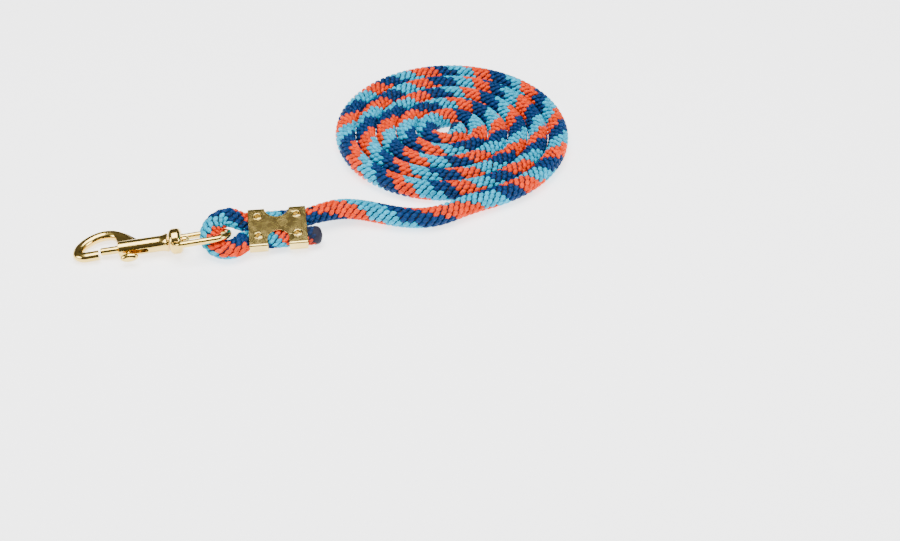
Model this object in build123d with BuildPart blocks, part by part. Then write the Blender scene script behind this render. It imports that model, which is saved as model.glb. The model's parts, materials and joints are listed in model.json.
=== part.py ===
"""Braided lead rope with a brass swivel bolt snap, held in a bight by a brass rope clamp.

Millimetres. +X runs along the snap from its hook towards the rope, +Y is away from the bolt's
thumb knob, and +Z is up. The origin is under the middle of the hardware, on the surface it lies on.
"""

from build123d import *
from math import cos, pi, radians, sin, tan
import os

os.makedirs("parts", exist_ok=True)

# ---------------------------------------------------------------- driving dimensions

# Where the hardware lies: the middle of the rope's bight, and the slope of the snap's axis.
hole_x = 23.1
hole_y = -2.7
hole_z = 13.65
snap_pitch = 5.0
eye_roll = 25.0
bight_tilt = 22.0

# Rope
rope_diameter = 16.0
bight_radius = 13.8
bight_half_width = 8.2
bight_half_thick = 5.5
bight_wrap = {1: 8.0, -1: 38.0}
strand_half_width = 9.4
strand_half_thick = 3.9
tail_stick_out = 11.5
lead_stub = 4.3
strand_lead_in = 0.4

# Clamp
clamp_start = 15.0
clamp_length = 43.8
clamp_width = 40.4
clamp_height = 10.0
clamp_y = 5.9
clamp_z = 9.6
clamp_tilt = 9.0
clamp_wall = 1.0
clamp_corners = [4.5, 4.5, 4.8, 1.6]
near_notch_radius = 8.0
near_notch_centre = -13.5
far_notch_radius = 9.3
far_notch_centre = 17.9
tooth_hole_diameter = 4.8
tooth_depth = 2.6
tooth_spacing_x = 29.4
tooth_spacing_y = 19.5
underside_gap = 12.0

# Swivel eye
eye_width = 24.0
eye_leg_diameter = 5.0
eye_end = 0.0
collar_front = -34.8
collar_back = -44.3
collar_radius = 9.8
collar_round = 3.4

# Snap
flare_back = -44.9
flare_radius = 7.2
barrel_mouth = -82.5
barrel_radius = 6.0
bolt_radius = 2.9
bolt_tip = -95.8
bolt_rear = -66.0
bore_clearance = 0.15
bore_floor = -52.0
hook_tip = -96.9
hook_width = 7.9
hook_thick = 7.4
web_thick = 5.8
slot_front = -77.0
slot_rear = -60.0
slot_width = 3.4
knob_x = -75.0
knob_shank_radius = 1.45
knob_standoff = 3.6
knob_length = 13.5
knob_width = 7.0
stud_shank_radius = 1.9
stud_head_radius = 3.1
spring_wire = 0.5
spring_radius = 2.3
spring_coils = 5

# Coil of the free rope: an Archimedean spiral that winds inwards, anticlockwise from above.
coil_x = 179.4
coil_y = 117.4
coil_first_radius = 94.0
coil_pitch = 17.2
coil_start_angle = -97.2
coil_join = 27.0

# ---------------------------------------------------------------- shared planes and axes

pitch = radians(snap_pitch)
along = Vector(cos(pitch), 0, sin(pitch))
upward = Vector(-sin(pitch), 0, cos(pitch))
hole = Vector(hole_x, hole_y, hole_z)
snap_plane = Plane(origin=hole, x_dir=along, z_dir=upward)
snap_axis = Axis(hole, along)
# Side plane: the snap's axis is its X, and its Y points up.
profile_plane = Plane(origin=hole, x_dir=along, z_dir=Vector(0, -1, 0))
bight_plane = snap_plane.rotated((bight_tilt, 0, 0))
eye_plane = snap_plane.rotated((-eye_roll, 0, 0))
swing_axis = Axis(hole, bight_plane.z_dir)
clamp_end = hole_x + clamp_start + clamp_length
clamp_mid = Vector(hole_x + clamp_start + clamp_length / 2, hole_y + clamp_y, clamp_z)
clamp_plane = Plane(origin=clamp_mid, x_dir=(1, 0, 0), z_dir=(0, 0, 1)).rotated((clamp_tilt, 0, 0))


def across(x):
    """The plane square to the snap's axis at x, with local X far and local Y up."""
    return Plane(origin=hole + along * x, x_dir=(0, 1, 0), z_dir=along)


def clamp_section(x, offset=0.0):
    """The plane square to the clamp at x, with local X across its width and local Y out of its face."""
    middle = clamp_mid + clamp_plane.y_dir * offset
    return Plane(origin=(x, middle.Y, middle.Z), x_dir=clamp_plane.y_dir, z_dir=(1, 0, 0))


def corner_radii(points):
    """Largest arc that each corner of a route leaves room for, with a tenth to spare."""
    radii = []
    for before, corner, after in zip(points, points[1:], points[2:]):
        run_in = Vector(*corner) - Vector(*before)
        run_out = Vector(*after) - Vector(*corner)
        half_turn = radians(run_in.get_angle(run_out)) / 2
        radii.append(0.45 * min(run_in.length, run_out.length) / tan(half_turn))
    return radii


# ---------------------------------------------------------------- snap body

# Centre line of the hook's bar, and the web between it and the barrel, across the snap's axis
hook_route = [
    (-72.0, 3.6),
    (-79.5, 13.4),
    (-86.5, 18.0),
    (-94.0, 19.2),
    (-101.5, 17.0),
    (-108.0, 12.2),
    (-112.6, 5.8),
    (-113.2, -0.6),
    (-109.0, -3.8),
    (hook_tip, -3.4),
]
web_outline = [(-67.0, 4.5), (-76.5, 14.0), (-83.0, 18.3), (-87.0, 16.0), (-84.6, 11.0), (-82.5, 3.0)]

with BuildPart() as snap_body:
    # Barrel with its rear flare
    with BuildSketch(profile_plane):
        with BuildLine():
            Polyline(
                (flare_back, 0),
                (barrel_mouth, 0),
                (barrel_mouth, barrel_radius - 0.8),
                (barrel_mouth + 0.8, barrel_radius),
                (flare_back - 7.5, barrel_radius),
            )
            ThreePointArc(
                (flare_back - 7.5, barrel_radius),
                (flare_back - 4.0, barrel_radius + 0.3),
                (flare_back - 1.2, flare_radius),
            )
            Polyline(
                (flare_back - 1.2, flare_radius),
                (flare_back, flare_radius - 0.6),
                (flare_back, 0),
            )
        make_face()
    revolve(axis=snap_axis)
    # Hook, a rounded bar that leaves the far side of the barrel and comes back to the bolt
    with BuildLine(snap_plane) as hook_path:
        FilletPolyline(*hook_route, radius=corner_radii(hook_route))
    hook_line = hook_path.wires()[0]
    with BuildSketch(Plane(hook_line @ 0, x_dir=upward, z_dir=hook_line % 0)):
        Ellipse(hook_thick / 2, hook_width / 2)
    sweep(path=hook_line)
    # Web that widens the hook where it joins the barrel
    with BuildSketch(snap_plane.offset(-web_thick / 2)):
        with BuildLine():
            Polyline(*web_outline, close=True)
        make_face()
    extrude(amount=web_thick)
    # Bore, knob slot and the hole that the swivel stud is pressed into
    with BuildSketch(across(bore_floor)):
        Circle(bolt_radius + bore_clearance)
    extrude(amount=barrel_mouth - bore_floor, mode=Mode.SUBTRACT)
    with BuildSketch(profile_plane):
        with Locations(((slot_front + slot_rear) / 2, 0)):
            SlotOverall(slot_rear - slot_front, slot_width)
    extrude(amount=barrel_radius + 3, mode=Mode.SUBTRACT)
    with BuildSketch(across(flare_back)):
        Circle(stud_shank_radius)
    extrude(amount=-5.0, mode=Mode.SUBTRACT)
snap_body.part.label = "snap_body"
export_step(snap_body.part, "parts/snap_body.step")

# ---------------------------------------------------------------- bolt, its spring and its knob

with BuildPart() as snap_bolt:
    with BuildSketch(across(bolt_rear)):
        Circle(bolt_radius)
    extrude(amount=bolt_tip - bolt_rear)
    chamfer(snap_bolt.edges().filter_by(GeomType.CIRCLE), length=0.5)
    with BuildSketch(Plane(origin=hole + along * knob_x, x_dir=along, z_dir=(0, -1, 0))):
        Circle(knob_shank_radius)
    extrude(amount=bolt_radius + 1, mode=Mode.SUBTRACT)
snap_bolt.part.label = "snap_bolt"
export_step(snap_bolt.part, "parts/snap_bolt.step")

with BuildPart() as thumb_knob:
    knob_seat = Plane(origin=hole + along * knob_x, x_dir=along, z_dir=(0, -1, 0))
    with BuildSketch(knob_seat):
        Circle(knob_shank_radius)
    extrude(amount=barrel_radius + knob_standoff + 1)
    # The button widens from its underside to its rim and closes to a crown
    for height, inset, lift in ((0, 1.2, 1.2), (1.8, 0, 0.8), (4.2, 2.4, 0.8)):
        with BuildSketch(knob_seat.offset(barrel_radius + knob_standoff + height)):
            with Locations((lift, 0)):
                Ellipse(knob_length / 2 - inset, knob_width / 2 - 0.65 * inset)
    loft()
thumb_knob.part.label = "thumb_knob"
export_step(thumb_knob.part, "parts/thumb_knob.step")

spring_length = bore_floor - bolt_rear
with BuildPart() as bolt_spring:
    with BuildLine():
        coil_line = Helix(
            pitch=(spring_length - spring_wire) / spring_coils,
            height=spring_length - spring_wire - 0.1,
            radius=spring_radius,
            center=hole + along * (bolt_rear + spring_wire / 2 + 0.05),
            direction=along,
        )
    with BuildSketch(Plane(coil_line @ 0, z_dir=coil_line % 0)):
        Circle(spring_wire / 2)
    sweep(path=coil_line)
bolt_spring.part.label = "bolt_spring"
export_step(bolt_spring.part, "parts/bolt_spring.step")

# ---------------------------------------------------------------- swivel stud and eye

with BuildPart() as swivel_stud:
    with BuildSketch(profile_plane):
        with BuildLine():
            Polyline(
                (flare_back - 5.0, 0),
                (flare_back - 5.0, stud_shank_radius),
                (collar_front + 0.3, stud_shank_radius),
                (collar_front + 0.3, stud_head_radius - 0.4),
                (collar_front + 0.7, stud_head_radius),
                (collar_front + 2.2, stud_head_radius),
            )
            ThreePointArc(
                (collar_front + 2.2, stud_head_radius),
                (collar_front + 2.2 + stud_head_radius * cos(pi / 4), stud_head_radius * sin(pi / 4)),
                (collar_front + 2.2 + stud_head_radius, 0),
            )
            Line((collar_front + 2.2 + stud_head_radius, 0), (flare_back - 5.0, 0))
        make_face()
    revolve(axis=snap_axis)
swivel_stud.part.label = "swivel_stud"
export_step(swivel_stud.part, "parts/swivel_stud.step")

with BuildPart() as swivel_eye:
    # Collar that turns on the stud
    with BuildSketch(across(collar_back)):
        Circle(collar_radius)
    extrude(amount=collar_front - collar_back)
    fillet(swivel_eye.edges().filter_by(GeomType.CIRCLE), radius=collar_round)
    # Link that the rope passes through
    half_eye = eye_width / 2
    with BuildLine(eye_plane) as eye_path:
        FilletPolyline(
            (collar_back + 4.4, -half_eye),
            (collar_back + 4.4, half_eye),
            (eye_end, half_eye),
            (eye_end, -half_eye),
            radius=[5.5, 5.5, half_eye - 1.5, half_eye - 1.5],
            close=True,
        )
    with BuildSketch(Plane(eye_path.line @ 0, x_dir=along, z_dir=eye_path.line % 0)):
        Circle(eye_leg_diameter / 2)
    sweep(path=eye_path.line)
    with BuildSketch(across(collar_back - 1)):
        Circle(stud_shank_radius + 0.2)
    extrude(amount=collar_front - collar_back + 2, mode=Mode.SUBTRACT)
swivel_eye.part.label = "swivel_eye"
export_step(swivel_eye.part, "parts/swivel_eye.step")

# ---------------------------------------------------------------- rope clamp



def clamp_profile(inset):
    """The clamp's closed outline, this far inside its outer face."""
    half_width = clamp_width / 2 - inset
    half_height = clamp_height / 2 - inset
    with BuildLine() as profile:
        FilletPolyline(
            (-half_width, -half_height),
            (half_width, -half_height),
            (half_width, half_height),
            (-half_width, half_height),
            radius=[corner - inset for corner in clamp_corners],
            close=True,
        )
    return profile.edges()


with BuildPart() as rope_clamp:
    with BuildSketch(clamp_section(hole_x + clamp_start)):
        make_face(clamp_profile(0))
        make_face(clamp_profile(clamp_wall), mode=Mode.SUBTRACT)
    extrude(amount=clamp_length)
    # Round-ended notches in both long sides leave four straps
    with BuildSketch(clamp_plane.offset(-clamp_height)):
        with Locations((0, near_notch_centre)):
            Circle(near_notch_radius)
        with Locations((0, near_notch_centre - clamp_width / 2)):
            Rectangle(2 * near_notch_radius, clamp_width)
        with Locations((0, far_notch_centre)):
            Circle(far_notch_radius)
        with Locations((0, far_notch_centre + clamp_width / 2)):
            Rectangle(2 * far_notch_radius, clamp_width)
    extrude(amount=2 * clamp_height, mode=Mode.SUBTRACT)
    # The straps' ends stop short of each other underneath
    with BuildSketch(clamp_plane.offset(-clamp_height)):
        Rectangle(clamp_length + 2, underside_gap)
    extrude(amount=clamp_height, mode=Mode.SUBTRACT)
    # Punched holes with a tooth bent in from each
    with BuildSketch(clamp_plane):
        with GridLocations(tooth_spacing_x, tooth_spacing_y, 2, 2):
            Circle(tooth_hole_diameter / 2)
    extrude(amount=clamp_height, mode=Mode.SUBTRACT)
    with BuildSketch(clamp_plane.offset(clamp_height / 2 - clamp_wall - tooth_depth)):
        with GridLocations(tooth_spacing_x, tooth_spacing_y, 2, 2):
            with Locations((-tooth_hole_diameter / 2, 0)):
                Rectangle(1.0, 1.8)
    extrude(amount=tooth_depth + clamp_wall / 2)
rope_clamp.part.label = "rope_clamp"
export_step(rope_clamp.part, "parts/rope_clamp.step")

# ---------------------------------------------------------------- rope in the bight and the clamp

strand_gap = 2 * strand_half_width + 0.1


def strand_plane(side, x):
    """Section plane of a strand in the clamp: side is 1 for the lead and -1 for the tail."""
    section = clamp_section(x, side * strand_gap / 2)
    return Plane(origin=section.origin, x_dir=side * section.x_dir, z_dir=section.z_dir)


def bight_end(side):
    """Section plane where the ring round the eye ends, with local X pointing out of the ring."""
    turned = bight_plane.rotated((0, 0, -side * bight_wrap[side]))
    return Plane(hole, x_dir=side * turned.y_dir, z_dir=turned.x_dir)


with BuildPart() as rope_bight:
    # Ring round the swivel eye, tilted up on the lead's side
    with BuildSketch(bight_end(1)):
        with Locations((bight_radius, 0)):
            Ellipse(bight_half_width, bight_half_thick)
    revolve(axis=swing_axis, revolution_arc=180 + sum(bight_wrap.values()))
    # From the ring into the clamp
    for side in (1, -1):
        with BuildSketch(bight_end(side)):
            with Locations((bight_radius, 0)):
                Ellipse(bight_half_width, bight_half_thick)
        with BuildSketch(strand_plane(side, hole_x + clamp_start - strand_lead_in)):
            Ellipse(strand_half_width, strand_half_thick)
        loft()
    # Lead strand as far as the clamp's end, and the tail that sticks out of it
    with BuildSketch(strand_plane(1, hole_x + clamp_start - strand_lead_in)):
        Ellipse(strand_half_width, strand_half_thick)
    extrude(amount=clamp_length + lead_stub + strand_lead_in)
    with BuildSketch(strand_plane(-1, hole_x + clamp_start - strand_lead_in)):
        Ellipse(strand_half_width, strand_half_thick)
    extrude(amount=clamp_length + strand_lead_in)
    with BuildSketch(strand_plane(-1, clamp_end)):
        Ellipse(strand_half_width, strand_half_thick)
    with BuildSketch(strand_plane(-1, clamp_end + tail_stick_out - 2)):
        Ellipse(strand_half_width - 0.6, strand_half_thick + 2.2)
    loft()
    with BuildSketch(strand_plane(-1, clamp_end + tail_stick_out - 2)):
        Ellipse(strand_half_width - 0.6, strand_half_thick + 2.2)
    with BuildSketch(strand_plane(-1, clamp_end + tail_stick_out)):
        Ellipse(strand_half_width - 2.8, strand_half_thick)
    loft()
    # Dents that the clamp's teeth press in
    with BuildSketch(clamp_plane.offset(clamp_height / 2 - clamp_wall - tooth_depth - 0.3)):
        with GridLocations(tooth_spacing_x, tooth_spacing_y, 2, 2):
            Circle(tooth_hole_diameter / 2 + 0.8)
    extrude(amount=clamp_height, mode=Mode.SUBTRACT)
rope_bight.part.label = "rope_bight"
export_step(rope_bight.part, "parts/rope_bight.step")

# ---------------------------------------------------------------- free rope: lead and coil

def spiral_radius(turned):
    """Radius of the rope's centre line after turning this many degrees from the start."""
    return coil_first_radius - coil_pitch * turned / 360


def spiral_point(turned, offset=0.0):
    """A point of the coil's centre line, or of the line offset outwards from it."""
    angle = radians(coil_start_angle + turned)
    radius = spiral_radius(turned) + offset
    return (hole_x + coil_x + radius * cos(angle), hole_y + coil_y + radius * sin(angle))


join_x, join_y = spiral_point(coil_join)
route = [
    (86.2, 14.0, 11.5),
    (99.7, 17.4, 12.5),
    (113.0, 18.6, 12.2),
    (126.5, 16.8, 10.6),
    (141.0, 12.0, 9.0),
    (156.0, 6.6, 8.3),
    (171.0, 4.1, 8.2),
    (185.5, 6.4, 8.2),
    (200.0, 13.4, 8.2),
    (216.0, 20.0, 8.2),
    (join_x, join_y, 8.2),
]


with BuildPart() as rope_lead:
    with BuildLine() as lead_path:
        FilletPolyline(*route, radius=corner_radii(route))
    with BuildSketch(Plane(lead_path.line @ 0, z_dir=lead_path.line % 0)):
        Circle(rope_diameter / 2)
    sweep(path=lead_path.line)
rope_lead.part.label = "rope_lead"
export_step(rope_lead.part, "parts/rope_lead.step")
print("lead corner radii", [round(radius) for radius in corner_radii(route)])
print("lead volume", round(rope_lead.part.volume))
print("section times length", round(pi * rope_diameter**2 / 4 * lead_path.wires()[0].length))

rim_points = [spiral_point(coil_join + 15 * step, rope_diameter / 2) for step in range(25)]
with BuildPart() as rope_coil:
    with BuildSketch():
        with BuildLine():
            Spline(*rim_points)
            Line(rim_points[-1], rim_points[0])
        make_face()
    extrude(amount=rope_diameter)
rope_coil.part.label = "rope_coil"
export_step(rope_coil.part, "parts/rope_coil.step")
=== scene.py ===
"""Braided lead rope with a brass swivel bolt snap and a brass rope clamp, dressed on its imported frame."""

import json
from math import asin, cos, pi, radians, sin

import bmesh
import bpy
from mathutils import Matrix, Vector


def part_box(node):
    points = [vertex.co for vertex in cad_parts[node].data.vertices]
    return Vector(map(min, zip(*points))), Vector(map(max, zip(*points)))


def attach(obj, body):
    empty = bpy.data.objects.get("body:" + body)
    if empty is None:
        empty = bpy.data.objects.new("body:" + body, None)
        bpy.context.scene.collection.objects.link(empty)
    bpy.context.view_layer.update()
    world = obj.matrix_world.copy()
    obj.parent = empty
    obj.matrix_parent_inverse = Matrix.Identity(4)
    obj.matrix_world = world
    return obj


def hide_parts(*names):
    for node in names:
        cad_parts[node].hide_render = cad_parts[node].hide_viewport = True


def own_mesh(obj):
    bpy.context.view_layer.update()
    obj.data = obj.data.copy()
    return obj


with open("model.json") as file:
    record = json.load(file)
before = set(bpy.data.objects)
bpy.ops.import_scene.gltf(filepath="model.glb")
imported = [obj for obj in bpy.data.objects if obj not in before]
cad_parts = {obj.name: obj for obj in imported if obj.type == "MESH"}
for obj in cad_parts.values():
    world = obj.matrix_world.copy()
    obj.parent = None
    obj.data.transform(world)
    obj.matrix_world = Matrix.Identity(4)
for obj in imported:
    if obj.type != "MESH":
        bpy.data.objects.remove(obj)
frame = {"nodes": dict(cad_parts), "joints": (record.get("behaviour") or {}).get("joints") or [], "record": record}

bl_info = {
    "name": "Lead Rope Dresser",
    "version": (1, 0, 0),
    "blender": (4, 5, 0),
    "location": "3D View > Sidebar > Lead Rope",
    "description": "Braids the rope and finishes the brass of a lead rope with a bolt snap",
    "category": "Object",
}

MM = 0.001
UP = Vector((0, 0, 1))

# ---------------------------------------------------------------- places taken from the frame

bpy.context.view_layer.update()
joints = {joint["name"]: joint for joint in frame["joints"]}
hole = Vector(joints["eye_swing"]["pos_m"])
along = Vector(joints["snap_swivel"]["axis"]).normalized()
bight_down = Vector(joints["eye_swing"]["axis"]).normalized()
bight_far = along.cross(bight_down).normalized()
clamp_low, clamp_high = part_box("rope_clamp")
clamp_mount = {mount["name"]: mount for mount in frame["record"]["mounts"]}["clamp_face"]
clamp_face = Vector(clamp_mount["pos_m"])
clamp_out = Vector(clamp_mount["axis"]).normalized()
clamp_across = clamp_out.cross(Vector((1, 0, 0)))
bight_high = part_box("rope_bight")[1]

# ---------------------------------------------------------------- sizes of the rope's path

BIGHT_RADIUS = 13.8 * MM
LEAD_SIDE_WRAP = radians(98)
TAIL_SIDE_WRAP = radians(128)
BIGHT_SECTION = (8.2 * MM, 5.5 * MM)
STRAND_SECTION = (9.4 * MM, 3.9 * MM)
STRAND_OFFSET = 9.45 * MM
CLAMP_HALF_HEIGHT = 5.0 * MM
PUNCH_SPACING = (29.4 * MM, 19.5 * MM)
FLAT_AREA = 60 * MM * MM
CLAMP_EDGE = 0.22 * MM
# A punched tooth: how deep its rim sits, its thickness, its fall, and where its lowest point is
TOOTH_SUNK = 0.1 * MM
TOOTH_THICK = 0.4 * MM
TOOTH_SLOPE = 1.6 * MM
TOOTH_TIP_SHARE = 0.35
EXIT_SECTION = (8.7 * MM, 5.7 * MM)
MELTED_REACH = 8.0 * MM
PART_MELTED = 0.4
TAIL_BARE = 5.0 * MM
TAIL_DARKENED = 14.0 * MM
LOOP_SWELL = 0.06
# Steps of the ring round the eye, of the runs between ring and clamp, and of the run out of the clamp
RING_STEPS = 24
RUN_STEPS = 6
EXIT_STEPS = 4
# How far the rope keeps its heading where a run starts at the clamp, and where it meets the ring
CLAMP_RUN = 13.0 * MM
RING_RUN = 7.0 * MM
MOUTH_GAP = 0.4 * MM
EXIT_INSET = 1.0 * MM
# Where the colours stand at the clamp's far end, the wales' turn in radians a metre, and the
# stitches' unevenness as a share of their pitch
COLOUR_SHIFT = 0.81
WALE_TWIST = 1.0
UNEVENNESS = 0.07
# The part of the loop that is untwisted, before the clamp's far end
LOOSE_LOOP = (-118 * MM, -80 * MM)
# Distance from the cut tail's tip and the half section there
TAIL_ROUNDING = [
    (1.0 * MM, (4.0 * MM, 4.0 * MM)),
    (1.8 * MM, (5.8 * MM, 5.2 * MM)),
    (3.2 * MM, (7.2 * MM, 6.1 * MM)),
    (6.0 * MM, (8.0 * MM, 6.3 * MM)),
    (9.0 * MM, (8.6 * MM, 5.4 * MM)),
]

# The free rope swells to its full size after the clamp, and its far end is bare and melted
SWELL_REACH = 18.0 * MM
END_BARE = 4.0 * MM
# The free rope's first stitches aren't melted: the shading needs a length above zero
NOT_DARKENED = 0.1 * MM

# The free rope's route over the floor, as far as its coil
LEAD_ROUTE = [
    (0.0862, 0.0140, 0.0115),
    (0.0997, 0.0174, 0.0125),
    (0.1130, 0.0186, 0.0122),
    (0.1265, 0.0168, 0.0106),
    (0.1410, 0.0120, 0.0090),
    (0.1560, 0.0066, 0.0083),
    (0.1710, 0.0041, 0.0082),
    (0.1855, 0.0064, 0.0082),
    (0.2000, 0.0134, 0.0082),
    (0.2160, 0.0200, 0.0082),
]

# The coil winds inwards, anticlockwise from above
COIL_CENTRE = (0.2025, 0.1147)
COIL_FIRST_RADIUS = 96.0 * MM
COIL_PITCH = 16.6 * MM
COIL_START = -97.2
COIL_JOIN = 27.0
COIL_END = 1960.0
COIL_STEP = 15.0
# The turns press on each other, which widens the rope a little
COIL_SQUASH = 1.035
ROPE_LIFT = 8.2 * MM

# ---------------------------------------------------------------- stage

FLOOR_HALF = 6.0
LIGHT_AIM = (0.1, 0.05, 0.0)
# Each softbox's place and the length of its side
SOFTBOXES = {
    "overhead_softbox": ((0.1, 0.05, 1.35), 1.1),
    "left_softbox": ((-1.25, -0.45, 0.7), 0.7),
    "right_softbox": ((1.5, -0.6, 0.8), 0.7),
}


# ---------------------------------------------------------------- settings


def colour(name, description, value):
    """A colour property with an alpha of one."""
    return bpy.props.FloatVectorProperty(
        name=name, description=description, subtype="COLOR", size=4, min=0, max=1, default=(*value, 1)
    )


def length(name, description, value):
    """A length property in metres."""
    return bpy.props.FloatProperty(
        name=name, description=description, unit="LENGTH", subtype="DISTANCE", min=0, default=value
    )


class LeadRopeBraid(bpy.types.PropertyGroup):
    """Sizes and colours of the braided rope."""

    diameter: length("Diameter", "Outside diameter of the free rope", 16 * MM)
    free_length: length("Free length", "Rope from the clamp to the coil's inner end", 1.83)
    stitch_length: length("Stitch length", "Length of one stitch of the braid", 7.5 * MM)
    stitch_width: length("Stitch width", "Width of one stitch at its middle", 4.0 * MM)
    stitch_height: length("Stitch height", "How far a stitch stands out of the rope's body", 1.6 * MM)
    stitch_pitch: length("Stitch pitch", "Distance between stitches along one wale", 5.3 * MM)
    colour_pitch: length("Colour pitch", "Rope in which the colours go round once, coiled or looped", 50 * MM)
    lead_pitch: length("Lead colour pitch", "The same where the rope is untwisted, up to the coil", 88 * MM)
    lead_length: length("Lead length", "Length of the untwisted rope beyond the clamp", 150 * MM)
    lean: bpy.props.FloatProperty(
        name="Lean",
        description="Angle between a stitch and the rope",
        subtype="ANGLE",
        default=radians(35),
    )
    wales: bpy.props.IntProperty(
        name="Wales", description="Rows of stitches round the rope", min=4, default=12
    )
    seed: bpy.props.IntProperty(
        name="Seed", description="Seed of the stitches' small differences", default=7
    )
    coral: colour("Coral", "First yarn colour", (0.93, 0.062, 0.008))
    turquoise: colour("Turquoise", "Second yarn colour", (0.0, 0.46, 0.70))
    navy: colour("Navy", "Third yarn colour", (0.0, 0.032, 0.135))
    # The core's near-black colour is painted shade in the gaps between the stitches; at the cut ends it shows as
    # melted yarn
    core: colour("Core", "Dark yarn between the stitches", (0.012, 0.012, 0.026))
    melted: colour("Melted end", "Yarn melted at a cut end", (0.010, 0.010, 0.024))


class LeadRopeBrass(bpy.types.PropertyGroup):
    """Colours of the brass parts."""

    cast: colour("Cast brass", "Polished cast brass of the snap", (0.80, 0.57, 0.15))
    sheet: colour("Sheet brass", "Bright sheet brass of the clamp", (0.78, 0.59, 0.19))
    dull: colour("Tarnish", "Colour that the brass tends to where it is less polished", (0.42, 0.28, 0.06))
    steel: colour("Spring steel", "Drawn wire of the bolt's spring", (0.56, 0.56, 0.58))
    rim_height: length("Rim height", "How far the rim of a punched hole stands up", 0.45 * MM)
    rim_radius: length("Rim radius", "Radius of a punched hole's rim", 3.1 * MM)
    rim_width: length("Rim width", "Width of a punched hole's rim", 1.3 * MM)


class LeadRopeStage(bpy.types.PropertyGroup):
    """Camera, floor and lights."""

    camera_place: bpy.props.FloatVectorProperty(
        name="Camera place",
        description="Where the camera stands",
        subtype="TRANSLATION",
        unit="LENGTH",
        default=(0.0716, -0.9433, 0.7553),
    )
    camera_aim: bpy.props.FloatVectorProperty(
        name="Camera aim",
        description="The point that the camera looks at",
        subtype="TRANSLATION",
        unit="LENGTH",
        default=(0.1844, -0.0503, 0.0),
    )
    lens: bpy.props.FloatProperty(
        name="Lens", description="Focal length in millimetres", min=1, default=63.36
    )
    floor: colour("Floor", "Pale floor", (0.90, 0.90, 0.91))
    floor_glow: bpy.props.FloatProperty(
        name="Floor glow", description="How strongly the lit sweep glows", min=0, default=2.3
    )
    key_power: bpy.props.FloatProperty(
        name="Key power", description="Power of the overhead softbox", unit="POWER", default=38
    )
    fill_power: bpy.props.FloatProperty(
        name="Fill power", description="Power of each side softbox", unit="POWER", default=15
    )


# ---------------------------------------------------------------- small helpers


def new_piece(name, mesh):
    """A new object at the origin that shows a mesh."""
    piece = bpy.data.objects.new(name, mesh)
    bpy.context.scene.collection.objects.link(piece)
    return piece


def mesh_from(name, points, faces):
    """A mesh with smooth faces."""
    mesh = bpy.data.meshes.new(name)
    mesh.from_pydata([tuple(point) for point in points], [], faces)
    mesh.polygons.foreach_set("use_smooth", [True] * len(mesh.polygons))
    mesh.update()
    return mesh


def plain_mesh(piece):
    """The piece's evaluated shape as a plain mesh."""
    graph = bpy.context.evaluated_depsgraph_get()
    shown = piece.evaluated_get(graph)
    return bpy.data.meshes.new_from_object(shown, preserve_all_data_layers=True, depsgraph=graph)


def join(piece, *others):
    """Adds the other pieces' meshes to the first piece."""
    with bpy.context.temp_override(
        active_object=piece, selected_editable_objects=[piece, *others]
    ):
        bpy.ops.object.join()


class Shader:
    """Builds a material's nodes round its Principled shader."""

    def __init__(self, name, **values):
        self.material = bpy.data.materials.new(name)
        self.material.use_nodes = True
        self.tree = self.material.node_tree
        self.surface = self.tree.nodes["Principled BSDF"]
        for socket, value in values.items():
            self.surface.inputs[socket.replace("_", " ")].default_value = value

    def node(self, kind, inputs=None, **settings):
        """A node with its settings and inputs: an input is a value or another node's output."""
        made = self.tree.nodes.new(kind)
        for name, value in settings.items():
            setattr(made, name, value)
        for name, value in (inputs or {}).items():
            self.feed(value, made.inputs[name])
        return made

    def feed(self, value, socket):
        """Links an output to a socket, or sets the socket's value."""
        if isinstance(value, bpy.types.NodeSocket):
            self.tree.links.new(value, socket)
        else:
            socket.default_value = value

    def place(self):
        """Object coordinates."""
        return self.node("ShaderNodeTexCoord").outputs["Object"]

    def noise(self, scale, detail=3.0, vector=None, roughness=0.55):
        """A noise pattern's value."""
        inputs = {"Scale": scale, "Detail": detail, "Roughness": roughness}
        inputs["Vector"] = self.place() if vector is None else vector
        return self.node("ShaderNodeTexNoise", inputs).outputs["Fac"]

    def spread(self, value, low, high, out_low=0.0, out_high=1.0):
        """A value's range from low to high mapped to another range."""
        inputs = {"Value": value, "From Min": low, "From Max": high, "To Min": out_low, "To Max": out_high}
        return self.node("ShaderNodeMapRange", inputs).outputs["Result"]

    def mix(self, factor, first, second, blend="MIX"):
        """A mix of two colours."""
        made = self.node("ShaderNodeMix", data_type="RGBA", blend_type=blend)
        self.feed(factor, made.inputs[0])
        self.feed(first, made.inputs[6])
        self.feed(second, made.inputs[7])
        return made.outputs[2]

    def attribute(self, name):
        """A named attribute's value."""
        return self.node("ShaderNodeAttribute", attribute_name=name).outputs["Fac"]

    def bump(self, height, strength, distance):
        """Feeds a bump to the surface."""
        made = self.node("ShaderNodeBump", {"Height": height, "Strength": strength, "Distance": distance})
        self.feed(made.outputs["Normal"], self.surface.inputs["Normal"])


# ---------------------------------------------------------------- materials


def brass_material(name, bright, dull, roughness, grain):
    """Polished brass with faint tarnish clouds, fine scratches and an uneven polish."""
    shader = Shader(name, Metallic=1.0)
    clouds = shader.noise(55.0, 4.0)
    shade = shader.spread(clouds, 0.42, 0.78, 0.0, 0.55)
    shader.feed(shader.mix(shade, bright, dull), shader.surface.inputs["Base Color"])
    streaks = shader.node("ShaderNodeMapping", {"Vector": shader.place(), "Scale": (260.0, 1500.0, 1500.0)})
    scratches = shader.noise(1.0, 2.0, streaks.outputs["Vector"])
    polish = shader.spread(shader.noise(170.0, 3.0), 0.3, 0.75, roughness * 0.7, roughness * 1.5)
    shader.feed(polish, shader.surface.inputs["Roughness"])
    waves = shader.noise(120.0, 2.0)
    height = shader.mix(0.35, waves, scratches)
    shader.bump(height, grain, 0.25 * MM)
    return shader.material


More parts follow.
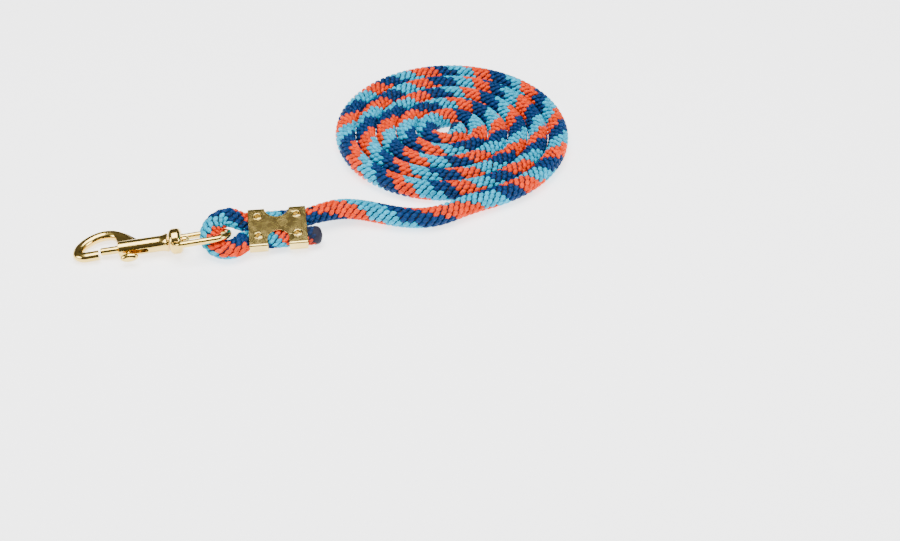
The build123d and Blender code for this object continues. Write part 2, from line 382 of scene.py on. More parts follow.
def steel_material(name, steel):
    """Drawn spring wire with a fine grain along it."""
    shader = Shader(name, Metallic=1.0)
    grain = shader.noise(2400.0, 2.0)
    darker = tuple(part * 0.7 for part in steel[:3]) + (1.0,)
    shader.feed(shader.mix(grain, steel, darker), shader.surface.inputs["Base Color"])
    shader.feed(shader.spread(grain, 0.3, 0.7, 0.22, 0.42), shader.surface.inputs["Roughness"])
    shader.bump(grain, 0.15, 0.05 * MM)
    return shader.material


def yarn_material(braid):
    """Stitches in three yarn colours, with filaments along each stitch and melted ends."""
    shader = Shader("braided_yarn", Roughness=0.55, Specular_IOR_Level=0.15)
    index = shader.spread(shader.attribute("yarn"), 0.0, 2.0)
    ramp = shader.node("ShaderNodeValToRGB", {"Fac": index})
    ramp.color_ramp.interpolation = "CONSTANT"
    stops = ramp.color_ramp.elements
    stops[0].color = braid.coral
    stops[1].position = 0.25
    stops[1].color = braid.turquoise
    last = stops.new(0.75)
    last.color = braid.navy
    tint = shader.spread(shader.attribute("tint"), 0.0, 1.0, 0.8, 1.12)
    toned = shader.node(
        "ShaderNodeHueSaturation", {"Color": ramp.outputs["Color"], "Value": tint, "Saturation": 1.05}
    )
    # Filaments run along the stitch, across its V coordinate
    face = shader.node("ShaderNodeUVMap", uv_map="UVMap").outputs["UV"]
    bands = shader.node("ShaderNodeMapping", {"Vector": face, "Scale": (1.6, 26.0, 1.0)})
    offset = shader.node(
        "ShaderNodeCombineXYZ", {"X": shader.attribute("tint"), "Y": shader.attribute("tint"), "Z": 0.0}
    )
    shifted = shader.node("ShaderNodeVectorMath", operation="MULTIPLY_ADD")
    shader.feed(offset.outputs["Vector"], shifted.inputs[0])
    shifted.inputs[1].default_value = (37.0, 91.0, 0.0)
    shader.feed(bands.outputs["Vector"], shifted.inputs[2])
    filaments = shader.noise(1.0, 2.0, shifted.outputs["Vector"])
    depth = shader.spread(filaments, 0.32, 0.68, 0.62, 1.08)
    lined = shader.node("ShaderNodeHueSaturation", {"Color": toned.outputs["Color"], "Value": depth})
    melt = shader.mix(shader.attribute("melt"), lined.outputs["Color"], braid.melted)
    shader.feed(melt, shader.surface.inputs["Base Color"])
    shader.bump(filaments, 0.55, 0.22 * MM)
    return shader.material


def core_material(braid):
    """The rope's dark body, seen only between the stitches and at its melted ends: between the stitches its
    near-black colour is painted shade, at the ends it is the melted yarn.
    """
    shader = Shader("rope_core_shade_and_melt", Roughness=0.7, Specular_IOR_Level=0.25)
    fuzz = shader.noise(900.0, 3.0)
    # Painted shade: the near-black core fills the gaps between the stitches, with the melted colour mixed in by
    # noise
    shader.feed(shader.mix(fuzz, braid.core, braid.melted), shader.surface.inputs["Base Color"])
    shader.bump(fuzz, 0.5, 0.3 * MM)
    return shader.material


# ---------------------------------------------------------------- the rope's path


class Station:
    """One place on the rope's path: its centre, its half section as two vectors, and how melted it is."""

    def __init__(self, centre, side, lift, section, melt=0.0):
        self.centre = Vector(centre)
        self.melt = melt
        self.side = side.normalized() * section[0]
        self.lift = lift.normalized() * section[1]


def strand_station(side, x, section, melt=0.0):
    """A place in the clamp: side is 1 for the lead and -1 for the tail."""
    centre = clamp_face - clamp_out * CLAMP_HALF_HEIGHT + clamp_across * side * STRAND_OFFSET
    return Station((x, centre.y, centre.z), clamp_across * side, clamp_out, section, melt)


def ring_station(angle):
    """A place on the ring round the swivel eye, with the angle measured from the snap's side."""
    outward = -along * cos(angle) + bight_far * sin(angle)
    return Station(hole + outward * BIGHT_RADIUS, outward, -bight_down, BIGHT_SECTION)


def bridge(start, end, lead_in, lead_out, steps):
    """Places on a smooth curve between two stations."""
    places = []
    for step in range(1, steps):
        t = step / steps
        a, b = 2 * t**3 - 3 * t**2 + 1, t**3 - 2 * t**2 + t
        c, d = -2 * t**3 + 3 * t**2, t**3 - t**2
        ease = t * t * (3 - 2 * t)
        centre = start.centre * a + lead_in * b + end.centre * c + lead_out * d
        side = start.side.normalized().lerp(end.side.normalized(), ease)
        lift = start.lift.normalized().lerp(end.lift.normalized(), ease)
        section = [
            (1 - ease) * start.side.length + ease * end.side.length,
            (1 - ease) * start.lift.length + ease * end.lift.length,
        ]
        places.append(Station(centre, side, lift, section))
    return places


def swollen(places):
    """Places where the rope fills out between the clamp and the loop."""
    for step, place in enumerate(places):
        share = (step + 1) / (len(places) + 1)
        place.side = place.side * (1 + LOOP_SWELL * sin(pi * share))
    return places


def bight_path():
    """The rope from its cut tail through the clamp, round the eye and back to the clamp's far end."""
    mouth = clamp_low.x - MOUTH_GAP
    stub = LEAD_ROUTE[0][0] - clamp_high.x
    clamp_middle = (clamp_low.x + clamp_high.x) / 2
    places = []
    for reach, section in TAIL_ROUNDING:
        melt = 1.0 if reach < MELTED_REACH else PART_MELTED
        places.append(strand_station(-1, bight_high.x - reach, section, melt))
    for x in (clamp_high.x, clamp_middle, mouth):
        places.append(strand_station(-1, x, STRAND_SECTION))
    sweep = LEAD_SIDE_WRAP + TAIL_SIDE_WRAP
    turns = [sweep * step / RING_STEPS - TAIL_SIDE_WRAP for step in range(RING_STEPS + 1)]
    ring = [ring_station(turn) for turn in turns]
    entering = along * sin(-TAIL_SIDE_WRAP) + bight_far * cos(-TAIL_SIDE_WRAP)
    leaving = along * sin(LEAD_SIDE_WRAP) + bight_far * cos(LEAD_SIDE_WRAP)
    inwards = Vector((-CLAMP_RUN, 0, 0))
    run_in = bridge(places[-1], ring[0], inwards, entering * RING_RUN, RUN_STEPS)
    places += swollen(run_in)
    places += ring
    inner = strand_station(1, mouth, STRAND_SECTION)
    run_out = bridge(ring[-1], inner, leaving * RING_RUN, -inwards, RUN_STEPS)
    places += swollen(run_out)
    places += [inner, strand_station(1, clamp_middle, STRAND_SECTION)]
    last = strand_station(1, clamp_high.x - EXIT_INSET, STRAND_SECTION)
    first = Vector(LEAD_ROUTE[0])
    heading = (Vector(LEAD_ROUTE[1]) - first).normalized()
    beyond = Station(first, UP.cross(heading), UP, EXIT_SECTION)
    places.append(last)
    places += bridge(last, beyond, Vector((stub, 0, 0)), heading * stub, EXIT_STEPS)
    places.append(beyond)
    return places


def spiral_point(turned):
    """A point of the coil's centre line, this many degrees from its start."""
    angle = radians(COIL_START + turned)
    radius = COIL_FIRST_RADIUS - COIL_PITCH * turned / 360
    return (COIL_CENTRE[0] + radius * cos(angle), COIL_CENTRE[1] + radius * sin(angle), ROPE_LIFT)


def rope_route():
    """The free rope's centre line as a smooth curve, read back as points."""
    steps = int((COIL_END - COIL_JOIN) / COIL_STEP)
    points = LEAD_ROUTE + [spiral_point(COIL_JOIN + COIL_STEP * step) for step in range(steps + 1)]
    data = bpy.data.curves.new("rope_route", "CURVE")
    data.dimensions = "3D"
    data.resolution_u = 6
    spline = data.splines.new("NURBS")
    spline.points.add(len(points) - 1)
    for place, point in zip(spline.points, points):
        place.co = (*point, 1)
    spline.order_u = 3
    spline.use_endpoint_u = True
    line = new_piece("rope_route", data)
    mesh = plain_mesh(line)
    route = [mesh.vertices[0].co.copy()]
    for vertex in mesh.vertices:
        if (vertex.co - route[-1]).length > 0.2 * MM:
            route.append(vertex.co.copy())
    bpy.data.objects.remove(line)
    bpy.data.meshes.remove(mesh)
    return route


def free_path(route, diameter):
    """Places along the free rope, which is full size a little after the clamp and melted at its end."""
    radius = diameter / 2
    places = []
    travelled = 0.0
    total = sum((b - a).length for a, b in zip(route, route[1:]))
    for step, point in enumerate(route):
        before, after = route[max(step - 1, 0)], route[min(step + 1, len(route) - 1)]
        if step:
            travelled += (point - before).length
        heading = (after - before).normalized()
        side = UP.cross(heading).normalized()
        swell = min(1.0, travelled / SWELL_REACH)
        left = total - travelled
        taper = min(1.0, 0.5 + 0.5 * (left / END_BARE) ** 0.5)
        full_size = (radius * COIL_SQUASH, radius)
        section = [a + (b - a) * swell for a, b in zip(EXIT_SECTION, full_size)]
        melt = 1.0 if left < END_BARE else 0.0
        place = Station(point, side, heading.cross(side), [half * taper for half in section], melt)
        places.append(place)
    return places


def path_length(places):
    """Length of the line through the places."""
    return sum((b.centre - a.centre).length for a, b in zip(places, places[1:]))


# ---------------------------------------------------------------- the braid


def stitch_mesh(braid):
    """One stitch: a lens of yarn bent round the rope, leaning to the left, with its foot in the core."""
    half_length, half_width = braid.stitch_length / 2, braid.stitch_width / 2
    base_radius = braid.diameter / 2 - braid.stitch_height
    outline = [(-1, 0), (-0.56, -0.7), (0, -1), (0.56, -0.7), (1, 0), (0.56, 0.7), (0, 1), (-0.56, 0.7)]
    rings = [(1.0, -0.35), (0.88, 0.5), (0.52, 0.92)]
    flat = [(u * size, v * size, height) for size, height in rings for u, v in outline]
    flat.append((0.0, 0.0, 1.0))
    points = []
    for u, v, height in flat:
        run, across = u * half_length, v * half_width
        ahead = run * cos(braid.lean) - across * sin(braid.lean)
        round_angle = (run * sin(braid.lean) + across * cos(braid.lean)) / base_radius
        # The forward tip dips deep under the next stitch, the rear tip lies on the one behind
        lifted = base_radius + braid.stitch_height * (height - 0.55 * u * u - 0.28 * u)
        points.append((ahead, lifted * sin(round_angle), lifted * cos(round_angle) - base_radius))
    around = range(8)
    faces = [(7, 6, 5, 4, 3, 2, 1, 0)]
    for ring in (0, 8):
        faces += [(ring + i, ring + (i + 1) % 8, ring + 8 + (i + 1) % 8, ring + 8 + i) for i in around]
    faces += [(16 + i, 16 + (i + 1) % 8, 24) for i in around]
    mesh = mesh_from("rope_stitch", points, faces)
    layer = mesh.uv_layers.new(name="UVMap")
    for loop in mesh.loops:
        u, v, height = flat[loop.vertex_index]
        layer.data[loop.index].uv = (0.5 + u / 2, 0.5 + v / 2)
    return mesh


class Tree:
    """Builds a Geometry Nodes tree with named inputs."""

    def __init__(self, name):
        self.tree = bpy.data.node_groups.new(name, "GeometryNodeTree")
        self.tree.is_modifier = True
        self.entry = self.tree.nodes.new("NodeGroupInput")
        self.exit = self.tree.nodes.new("NodeGroupOutput")
        self.socket("Geometry", "Geometry")
        self.tree.interface.new_socket("Geometry", in_out="OUTPUT", socket_type="NodeSocketGeometry")

    def socket(self, name, kind):
        """A named input of the tree."""
        self.tree.interface.new_socket(name, in_out="INPUT", socket_type=f"NodeSocket{kind}")

    def given(self, name):
        """The value of a named input."""
        return self.entry.outputs[name]

    def feed(self, value, socket):
        """Links an output to a socket, or sets the socket's value."""
        if isinstance(value, bpy.types.NodeSocket):
            self.tree.links.new(value, socket)
        else:
            socket.default_value = value

    def node(self, kind, inputs=None, **settings):
        """A node with its settings and inputs."""
        made = self.tree.nodes.new(kind)
        for name, value in settings.items():
            setattr(made, name, value)
        for name, value in (inputs or {}).items():
            self.feed(value, made.inputs[name])
        return made

    def maths(self, operation, first, second=0.0):
        """One step of arithmetic."""
        return self.node("ShaderNodeMath", {0: first, 1: second}, operation=operation).outputs[0]

    def vector(self, operation, first, second=(0.0, 0.0, 0.0)):
        """One step of arithmetic on vectors."""
        return self.node("ShaderNodeVectorMath", {0: first, 1: second}, operation=operation).outputs[0]

    def scaled(self, vector, factor):
        """A vector times a number."""
        made = self.node("ShaderNodeVectorMath", {0: vector, "Scale": factor}, operation="SCALE")
        return made.outputs[0]

    def size(self, vector):
        """A vector's length."""
        made = self.node("ShaderNodeVectorMath", {0: vector}, operation="LENGTH")
        return made.outputs["Value"]

    def random(self, low, high, seed):
        """A random number for each point."""
        made = self.node("FunctionNodeRandomValue", data_type="FLOAT")
        for name, value in (("Min", low), ("Max", high)):
            socket = [s for s in made.inputs if s.name == name and s.type == "VALUE"][0]
            self.feed(value, socket)
        self.feed(seed, made.inputs["Seed"])
        return [s for s in made.outputs if s.type == "VALUE"][0]

    def store(self, geometry, name, value):
        """Keeps a number on each point under a name."""
        made = self.node(
            "GeometryNodeStoreNamedAttribute",
            {"Geometry": geometry, "Name": name, "Value": value},
            data_type="FLOAT",
            domain="POINT",
        )
        return made.outputs["Geometry"]


def braid_tree():
    """Stitches on the surface of a rope, whose path carries its half section as two vectors."""
    made = Tree("Rope braid")
    for name in ("Rows", "Wales", "Seed"):
        made.socket(name, "Int")
    lengths = ("Stitch Pitch", "Nominal Radius", "Start", "Bare", "Melt")
    colouring = ("Colour Pitch", "Lead Colour Pitch", "Lead Length", "Loose Loop Start", "Loose Loop End")
    for name in (*lengths, *colouring, "Colour Shift", "Twist", "Unevenness"):
        made.socket(name, "Float")
    made.socket("Stitch", "Object")
    made.socket("Yarn", "Material")
    wales = made.given("Wales")
    count = made.maths("MULTIPLY", made.given("Rows"), wales)
    points = made.node("GeometryNodePoints", {"Count": count}).outputs[0]
    index = made.node("GeometryNodeInputIndex").outputs[0]
    row = made.maths("FLOOR", made.maths("DIVIDE", made.maths("ADD", index, 0.5), wales))
    wale = made.maths("SUBTRACT", index, made.maths("MULTIPLY", row, wales))
    stagger = made.maths("MULTIPLY", made.maths("MODULO", wale, 2.0), 0.5)
    rows_on = made.maths("ADD", made.maths("ADD", row, 0.25), stagger)
    seed = made.given("Seed")
    uneven = made.given("Unevenness")
    wobble = made.maths("MULTIPLY", made.random(-1.0, 1.0, seed), uneven)
    at = made.maths("MULTIPLY", made.maths("ADD", rows_on, wobble), made.given("Stitch Pitch"))
    at = made.maths("ADD", at, made.given("Bare"))
    # Distance beyond the clamp's far end, which is negative in the bight
    reach = made.maths("ADD", at, made.given("Start"))
    share = made.maths("DIVIDE", wale, wales)
    angle = made.maths("MULTIPLY", share, 2 * pi)
    angle = made.maths("ADD", angle, made.maths("MULTIPLY", reach, made.given("Twist")))
    cosine, sine = made.maths("COSINE", angle), made.maths("SINE", angle)
    line = made.node("GeometryNodeMeshToCurve", {"Mesh": made.given("Geometry")}).outputs[0]

    def half_section(name, place):
        """The path's position and one vector of its half section at a length along it."""
        field = made.node("GeometryNodeInputNamedAttribute", {"Name": name}, data_type="FLOAT_VECTOR")
        sample = made.node("GeometryNodeSampleCurve", data_type="FLOAT_VECTOR", mode="LENGTH")
        made.feed(line, sample.inputs["Curves"])
        made.feed(field.outputs["Attribute"], sample.inputs["Value"])
        made.feed(place, sample.inputs["Length"])
        return sample.outputs["Position"], sample.outputs["Value"]

    def surface(place):
        """A point of the rope's surface and its half section's two vectors."""
        centre, side = half_section("half_side", place)
        lift = half_section("half_lift", place)[1]
        rim = made.vector("ADD", made.scaled(side, cosine), made.scaled(lift, sine))
        return made.vector("ADD", centre, rim), side, lift

    probe = 0.8 * MM
    behind, side, lift = surface(made.maths("SUBTRACT", at, probe))
    ahead = surface(made.maths("ADD", at, probe))[0]
    middle = made.scaled(made.vector("ADD", behind, ahead), 0.5)
    heading = made.scaled(made.vector("SUBTRACT", ahead, behind), 0.5 / probe)
    turned = made.scaled(side, made.maths("MULTIPLY", sine, -1.0))
    round_way = made.vector("ADD", turned, made.scaled(lift, cosine))
    outward = made.vector("CROSS_PRODUCT", round_way, heading)
    points = made.node(
        "GeometryNodeSetPosition", {"Geometry": points, "Position": middle}
    ).outputs[0]
    tight = made.maths("DIVIDE", 1.0, made.given("Colour Pitch"))
    loose = made.maths("DIVIDE", 1.0, made.given("Lead Colour Pitch"))
    lead = made.maths("MINIMUM", made.maths("MAXIMUM", reach, 0.0), made.given("Lead Length"))
    loop = made.maths("MAXIMUM", reach, made.given("Loose Loop Start"))
    loop = made.maths("MINIMUM", loop, made.given("Loose Loop End"))
    loop = made.maths("SUBTRACT", loop, made.given("Loose Loop End"))
    stretched = made.maths("ADD", lead, loop)
    untwisted = made.maths("MULTIPLY", stretched, made.maths("SUBTRACT", tight, loose))
    turns = made.maths("SUBTRACT", made.maths("MULTIPLY", reach, tight), untwisted)
    colours = made.maths("SUBTRACT", turns, share)
    colours = made.maths("ADD", made.maths("MULTIPLY", colours, 3.0), made.given("Colour Shift"))
    colours = made.maths("ADD", colours, wobble)
    yarn = made.maths("FLOORED_MODULO", made.maths("FLOOR", colours), 3.0)
    points = made.store(points, "yarn", yarn)
    points = made.store(points, "tint", made.random(0.0, 1.0, made.maths("ADD", seed, 11)))
    melt_reach = made.maths("ADD", at, made.maths("MULTIPLY", wobble, 0.02))
    melt = made.node(
        "ShaderNodeMapRange",
        {"Value": melt_reach, "From Min": 0.0, "From Max": made.given("Melt"), "To Min": 1.0, "To Max": 0.0},
    )
    points = made.store(points, "melt", melt.outputs[0])
    turn = made.node(
        "FunctionNodeAxesToRotation",
        {"Primary Axis": outward, "Secondary Axis": heading},
        primary_axis="Z",
        secondary_axis="X",
    )
    width = made.maths("DIVIDE", made.size(round_way), made.given("Nominal Radius"))
    scale = made.node("ShaderNodeCombineXYZ", {"X": made.size(heading), "Y": width, "Z": 1.0})
    stitch = made.node("GeometryNodeObjectInfo", {"Object": made.given("Stitch")})
    placed = made.node(
        "GeometryNodeInstanceOnPoints",
        {
            "Points": points,
            "Instance": stitch.outputs["Geometry"],
            "Rotation": turn.outputs[0],
            "Scale": scale.outputs[0],
        },
    )
    real = made.node("GeometryNodeRealizeInstances", {"Geometry": placed.outputs[0]})
    dressed = made.node(
        "GeometryNodeSetMaterial", {"Geometry": real.outputs[0], "Material": made.given("Yarn")}
    )
    made.feed(dressed.outputs[0], made.exit.inputs[0])
    return made.tree


def line_mesh(name, places, height):
    """A mesh of edges along the path that carries the half section at the stitches' feet."""
    mesh = bpy.data.meshes.new(name)
    edges = [(i, i + 1) for i in range(len(places) - 1)]
    mesh.from_pydata([tuple(place.centre) for place in places], edges, [])
    for key in ("side", "lift"):
        layer = mesh.attributes.new(f"half_{key}", "FLOAT_VECTOR", "POINT")
        for item, place in zip(layer.data, places):
            half = getattr(place, key)
            item.vector = half * (1 - height / half.length)
    return mesh


def core_mesh(name, places, height, sides=10, spacing=4 * MM):
    """The closed body under the stitches, with rounded ends."""
    rings = []
    since = spacing
    last = len(places) - 1
    for step, place in enumerate(places):
        if step:
            since += (place.centre - places[step - 1].centre).length
        if since >= spacing or step == last or place.melt:
            rings.append(place)
            since = 0.0
    points = []
    for place in rings:
        depth = height * (1 - place.melt)
        side = place.side * (1 - depth / place.side.length)
        lift = place.lift * (1 - depth / place.lift.length)
        for turn in range(sides):
            angle = 2 * pi * turn / sides
            points.append(place.centre + side * cos(angle) + lift * sin(angle))
    faces = []
    for ring in range(len(rings) - 1):
        start = ring * sides
        for turn in range(sides):
            after = (turn + 1) % sides
            faces.append((start + turn, start + sides + turn, start + sides + after, start + after))
    ends = ((0, rings[0], rings[1]), ((len(rings) - 1) * sides, rings[-1], rings[-2]))
    for first, rim, inner in ends:
        outward = (rim.centre - inner.centre).normalized()
        points.append(rim.centre + outward * 0.9 * MM)
        tip = len(points) - 1
        for turn in range(sides):
            after = (turn + 1) % sides
            pair = (first + turn, first + after) if first == 0 else (first + after, first + turn)
            faces.append((*pair, tip))
    return mesh_from(name, points, faces)


def braided(name, places, start, bare, braid, materials, melt):
    """A braided piece: its core and the stitches that the braid's tree lays between its bare ends."""
    height = braid.stitch_height
    core = new_piece(name, core_mesh(name, places, height * 1.15))
    # The core's material paints near-black shade into the gaps between the stitches
    core.data.materials.append(materials[1])
    stitches = new_piece(f"{name}_stitches", line_mesh(f"{name}_stitches", places, height))
    stitch = new_piece("rope_stitch", stitch_mesh(braid))
    covered = path_length(places) - sum(bare)
    rows = round(covered / braid.stitch_pitch)
    values = {
        "Rows": rows,
        "Wales": braid.wales,
        "Seed": braid.seed,
        "Stitch Pitch": covered / rows,
        "Colour Pitch": braid.colour_pitch,
        "Lead Colour Pitch": braid.lead_pitch,
        "Lead Length": braid.lead_length,
        "Colour Shift": COLOUR_SHIFT,
        "Loose Loop Start": LOOSE_LOOP[0],
        "Loose Loop End": LOOSE_LOOP[1],
        "Twist": WALE_TWIST,
        "Unevenness": UNEVENNESS,
        "Nominal Radius": braid.diameter / 2 - height,
        "Start": start,
        "Bare": bare[0],
        "Melt": melt,
        "Stitch": stitch,
        "Yarn": materials[0],
    }
    tree = bpy.data.node_groups.get("Rope braid") or braid_tree()
    run_tree(stitches, tree, values)
    bpy.data.objects.remove(stitch)
    join(core, stitches)
    return core


def rope_materials(braid):
    """The rope's yarn and core, made once."""
    yarn = bpy.data.materials.get("braided_yarn") or yarn_material(braid)
    core = bpy.data.materials.get("rope_core_shade_and_melt") or core_material(braid)
    return yarn, core


# ---------------------------------------------------------------- brass pieces


def softened(node, name, finish, width, body):
    """A copy of a CAD node whose sharp edges are rounded over, in place of the node."""
    shape = bmesh.new()
    shape.from_mesh(frame["nodes"][node].data)
    bmesh.ops.remove_doubles(shape, verts=shape.verts, dist=0.001 * MM)
    bmesh.ops.dissolve_limit(shape, angle_limit=radians(0.5), verts=shape.verts, edges=shape.edges)
    mesh = bpy.data.meshes.new(name)
    shape.to_mesh(mesh)
    shape.free()
    piece = new_piece(name, mesh)
    mesh.materials.clear()
    mesh.materials.append(finish)
    mesh.polygons.foreach_set("material_index", [0] * len(mesh.polygons))
    edge = piece.modifiers.new("Edges", "BEVEL")
    edge.width = width
    edge.segments = 2
    edge.limit_method = "ANGLE"
    edge.angle_limit = radians(40)
    plain = plain_mesh(piece)
    # The plate's large faces are flat; its bends and rounded edges are smooth
    for face in plain.polygons:
        face.use_smooth = face.area < FLAT_AREA
    piece.modifiers.clear()
    piece.data = plain
    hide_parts(node)
    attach(piece, body)
    return piece


def rim_mesh(brass):
    """The raised lip round a punched hole: a low ring with a rounded top, sunk into the plate."""
    around = 32
    steps = [(-0.5, -0.6), (-0.5, 0.3), (-0.25, 0.85), (0.0, 1.0), (0.3, 0.7), (0.5, -0.1), (0.5, -0.6)]
    points = []
    for turn in range(around):
        angle = 2 * pi * turn / around
        # The lip stands a little higher on the side away from the tooth
        height = brass.rim_height * (1.15 + 0.35 * cos(angle))
        for out, up in steps:
            radius = brass.rim_radius + out * brass.rim_width
            points.append((radius * cos(angle), radius * sin(angle), up * height))
    count = len(steps)
    faces = []
    for turn in range(around):
        here, there = turn * count, (turn + 1) % around * count
        for step in range(count):
            after = (step + 1) % count
            faces.append((here + step, here + after, there + after, there + step))
    # The punched tooth slopes down inside the hole
    first = len(points)
    inner = brass.rim_radius - brass.rim_width / 2
    for sunk in (TOOTH_SUNK, TOOTH_SUNK + TOOTH_THICK):
        for turn in range(around):
            angle = 2 * pi * turn / around
            points.append((inner * cos(angle), inner * sin(angle), -sunk))
        points.append((TOOTH_TIP_SHARE * inner, 0.0, -sunk - TOOTH_SLOPE))
    for turn in range(around):
        top, after = first + turn, first + (turn + 1) % around
        below, below_after = top + around + 1, after + around + 1
        faces.append((top, after, first + around))
        faces.append((below_after, below, first + 2 * around + 1))
        faces.append((after, top, below, below_after))
    mesh = mesh_from("punched_rim", points, faces)
    shape = bmesh.new()
    shape.from_mesh(mesh)
    bmesh.ops.recalc_face_normals(shape, faces=shape.faces)
    shape.to_mesh(mesh)
    shape.free()
    return mesh


def rims_tree():
    """A grid of rims on the clamp's face."""
    made = Tree("Clamp rims")
    for name in ("Spacing Along", "Spacing Across"):
        made.socket(name, "Float")
    for name in ("Face Place", "Face Turn"):
        made.socket(name, "Vector")
    made.socket("Rim", "Object")
    made.socket("Brass", "Material")
    grid = made.node(
        "GeometryNodeMeshGrid",
        {
            "Size X": made.given("Spacing Along"),
            "Size Y": made.given("Spacing Across"),
            "Vertices X": 2,
            "Vertices Y": 2,
        },
    )
    spots = made.node("GeometryNodeMeshToPoints", {"Mesh": grid.outputs["Mesh"]})
    rim = made.node("GeometryNodeObjectInfo", {"Object": made.given("Rim")})
    rims = made.node(
        "GeometryNodeInstanceOnPoints",
        {"Points": spots.outputs[0], "Instance": rim.outputs["Geometry"]},
    )
    real = made.node("GeometryNodeRealizeInstances", {"Geometry": rims.outputs[0]})
    placed = made.node(
        "GeometryNodeTransform",
        {
            "Geometry": real.outputs[0],
            "Translation": made.given("Face Place"),
            "Rotation": made.given("Face Turn"),
        },
    )
    dressed = made.node(
        "GeometryNodeSetMaterial", {"Geometry": placed.outputs[0], "Material": made.given("Brass")}
    )
    made.feed(dressed.outputs[0], made.exit.inputs[0])
    return made.tree


def run_tree(piece, tree, values):
    """Gives a piece the shape that a tree makes from named values."""
    modifier = piece.modifiers.new(tree.name, "NODES")
    modifier.node_group = tree
    for item in tree.interface.items_tree:
        if item.in_out == "INPUT" and item.name in values:
            modifier[item.identifier] = values[item.name]
    plain = plain_mesh(piece)
    if not plain.polygons:
        raise RuntimeError(f"{piece.name}: the tree {tree.name} made nothing")
    piece.modifiers.clear()
    piece.data = plain


# ---------------------------------------------------------------- operators


class LEADROPE_OT_stage(bpy.types.Operator):
    """Lays the pale floor and sets the camera and the soft lights"""

    bl_idname = "leadrope.stage"
    bl_label = "Set the Stage"

    def execute(self, context):
        stage = context.scene.lead_rope_stage
        camera = bpy.data.objects.new("camera", bpy.data.cameras.new("camera"))
        camera.data.lens = stage.lens
        camera.data.clip_start = 0.01
        camera.location = stage.camera_place
        view = Vector(stage.camera_aim) - Vector(stage.camera_place)
        camera.rotation_euler = view.to_track_quat("-Z", "Y").to_euler()
        context.scene.collection.objects.link(camera)
        context.scene.camera = camera
        half = FLOOR_HALF
        corners = [(-half, -half, 0), (half, -half, 0), (half, half, 0), (-half, half, 0)]
        floor = new_piece("floor", mesh_from("floor", corners, [(0, 1, 2, 3)]))
        shader = Shader("pale_floor", Roughness=0.6, Specular_IOR_Level=0.2)
        clouds = shader.noise(3.0, 2.0)
        darker = tuple(part * 0.985 for part in stage.floor[:3]) + (1.0,)
        shader.feed(shader.mix(clouds, stage.floor, darker), shader.surface.inputs["Base Color"])
        shader.surface.inputs["Emission Color"].default_value = stage.floor
        shader.surface.inputs["Emission Strength"].default_value = stage.floor_glow
        floor.data.materials.append(shader.material)
        powers = {"overhead_softbox": stage.key_power}
        for name, (place, size) in SOFTBOXES.items():
            self.light(context, name, place, size, powers.get(name, stage.fill_power))
        self.sky(context)
        return {"FINISHED"}

    def light(self, context, name, place, size, power):
        """A square softbox that faces the object."""
        lamp = bpy.data.lights.new(name, "AREA")
        lamp.size = size
        lamp.energy = power
        box = bpy.data.objects.new(name, lamp)
        box.location = place
        aim = Vector(LIGHT_AIM) - Vector(place)
        box.rotation_euler = aim.to_track_quat("-Z", "Y").to_euler()
        context.scene.collection.objects.link(box)

    def sky(self, context):
        """A soft studio sky, dark low down and light overhead, for the brass to reflect."""
        world = bpy.data.worlds.new("studio")
        world.use_nodes = True
        context.scene.world = world
        tree = world.node_tree
        background = tree.nodes["Background"]
        direction = tree.nodes.new("ShaderNodeTexCoord").outputs["Generated"]
        split = tree.nodes.new("ShaderNodeSeparateXYZ")
        ramp = tree.nodes.new("ShaderNodeValToRGB")
        tree.links.new(direction, split.inputs[0])
        tree.links.new(split.outputs["Z"], ramp.inputs["Fac"])
        stops = ramp.color_ramp.elements
        stops[0].color = (0.30, 0.30, 0.31, 1)
        stops[1].position = 0.95
        stops[1].color = (0.9, 0.9, 0.9, 1)
        middle = stops.new(0.15)
        middle.color = (0.06, 0.06, 0.06, 1)
        upper = stops.new(0.84)
        upper.color = (0.18, 0.17, 0.16, 1)
        tree.links.new(ramp.outputs["Color"], background.inputs["Color"])
        background.inputs["Strength"].default_value = 0.9


class LEADROPE_OT_free_rope(bpy.types.Operator):
    """Braids the free rope from the clamp to the coil's inner end"""

    bl_idname = "leadrope.free_rope"
    bl_label = "Braid the Free Rope"

    def execute(self, context):
        braid = context.scene.lead_rope_braid
        route = rope_route()
        places = free_path(route, braid.diameter)
        bare = (0.0, END_BARE)
        piece = braided("free_rope", places, 0.0, bare, braid, rope_materials(braid), NOT_DARKENED)
        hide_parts("rope_lead", "rope_coil")
        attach(piece, "rope")
        return {"FINISHED"}


class LEADROPE_OT_bight_rope(bpy.types.Operator):
    """Braids the rope that is looped round the eye and held in the clamp"""

    bl_idname = "leadrope.bight_rope"
    bl_label = "Braid the Bight"

    def execute(self, context):
        braid = context.scene.lead_rope_braid
        places = bight_path()
        start = -path_length(places)
        bare = (TAIL_BARE, 0.0)
        piece = braided("bight_rope", places, start, bare, braid, rope_materials(braid), TAIL_DARKENED)
        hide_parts("rope_bight")
        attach(piece, "rope")
        return {"FINISHED"}


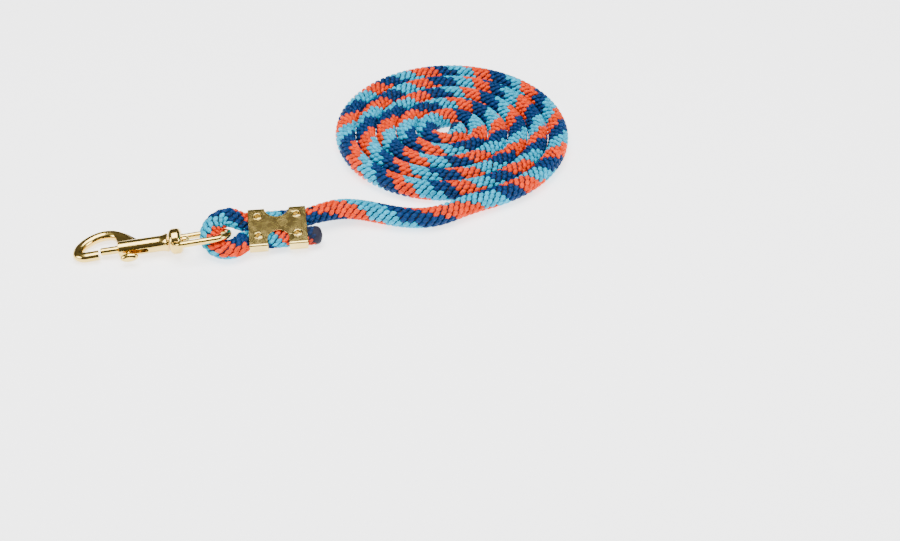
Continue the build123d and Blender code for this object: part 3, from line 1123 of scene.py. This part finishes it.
class LEADROPE_OT_brass(bpy.types.Operator):
    """Gives the snap, its swivel, the clamp and the spring their metal finishes"""

    bl_idname = "leadrope.brass"
    bl_label = "Finish the Metal"

    def execute(self, context):
        brass = context.scene.lead_rope_brass
        cast = brass_material("cast_brass", brass.cast, brass.dull, 0.13, 0.10)
        bolt = brass_material("bolt_brass", brass.cast, brass.dull, 0.10, 0.05)
        sheet = brass_material("sheet_brass", brass.sheet, brass.dull, 0.16, 0.05)
        steel = steel_material("spring_steel", brass.steel)
        finishes = {
            "snap_body": cast,
            "thumb_knob": cast,
            "swivel_stud": bolt,
            "snap_bolt": bolt,
            "swivel_eye": cast,
        }
        for node, finish in finishes.items():
            slots = frame["nodes"][node].material_slots
            for slot in slots:
                slot.material = finish
            if not slots:
                frame["nodes"][node].data.materials.append(finish)
        self.clamp(brass, sheet)
        self.spring(steel)
        return {"FINISHED"}

    def spring(self, steel):
        """The bolt's spring in spring steel, carried with the snap."""
        mesh = frame["nodes"]["bolt_spring"].data.copy()
        mesh.materials.clear()
        mesh.materials.append(steel)
        mesh.polygons.foreach_set("material_index", [0] * len(mesh.polygons))
        piece = new_piece("spring", mesh)
        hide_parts("bolt_spring")
        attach(piece, "snap")
        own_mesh(piece)

    def clamp(self, brass, sheet):
        """The clamp with rounded cut edges and the raised rims of its punched holes."""
        softened("rope_clamp", "clamp", sheet, CLAMP_EDGE, "rope")
        rim = new_piece("punched_rim", rim_mesh(brass))
        rims = new_piece("clamp_rims", bpy.data.meshes.new("clamp_rims"))
        tilt = clamp_across.z
        values = {
            "Spacing Along": PUNCH_SPACING[0],
            "Spacing Across": PUNCH_SPACING[1],
            "Face Place": clamp_face,
            "Face Turn": (asin(tilt), 0.0, 0.0),
            "Rim": rim,
            "Brass": sheet,
        }
        run_tree(rims, rims_tree(), values)
        bpy.data.objects.remove(rim)
        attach(rims, "rope")


class LEADROPE_PT_panel(bpy.types.Panel):
    """Lists the steps that dress the lead rope"""

    bl_idname = "LEADROPE_PT_panel"
    bl_label = "Lead Rope"
    bl_space_type = "VIEW_3D"
    bl_region_type = "UI"
    bl_category = "Lead Rope"

    def draw(self, context):
        for step in STEPS:
            self.layout.operator(step.bl_idname)
        for group in (LeadRopeBraid, LeadRopeBrass, LeadRopeStage):
            box = self.layout.box()
            for name in group.__annotations__:
                box.prop(getattr(context.scene, GROUPS[group]), name)


STEPS = (LEADROPE_OT_stage, LEADROPE_OT_free_rope, LEADROPE_OT_bight_rope, LEADROPE_OT_brass)
GROUPS = {
    LeadRopeBraid: "lead_rope_braid",
    LeadRopeBrass: "lead_rope_brass",
    LeadRopeStage: "lead_rope_stage",
}


def register():
    """Registers the settings, the steps and the panel."""
    for group, name in GROUPS.items():
        bpy.utils.register_class(group)
        setattr(bpy.types.Scene, name, bpy.props.PointerProperty(type=group))
    for step in (*STEPS, LEADROPE_PT_panel):
        bpy.utils.register_class(step)


def unregister():
    """Removes what register added."""
    for step in (LEADROPE_PT_panel, *reversed(STEPS)):
        bpy.utils.unregister_class(step)
    for group, name in GROUPS.items():
        delattr(bpy.types.Scene, name)
        bpy.utils.unregister_class(group)


def main():
    """Dresses the frame step by step."""
    register()
    bpy.ops.leadrope.stage()
    bpy.ops.leadrope.free_rope()
    bpy.ops.leadrope.bight_rope()
    bpy.ops.leadrope.brass()


if __name__ == "__main__":
    main()
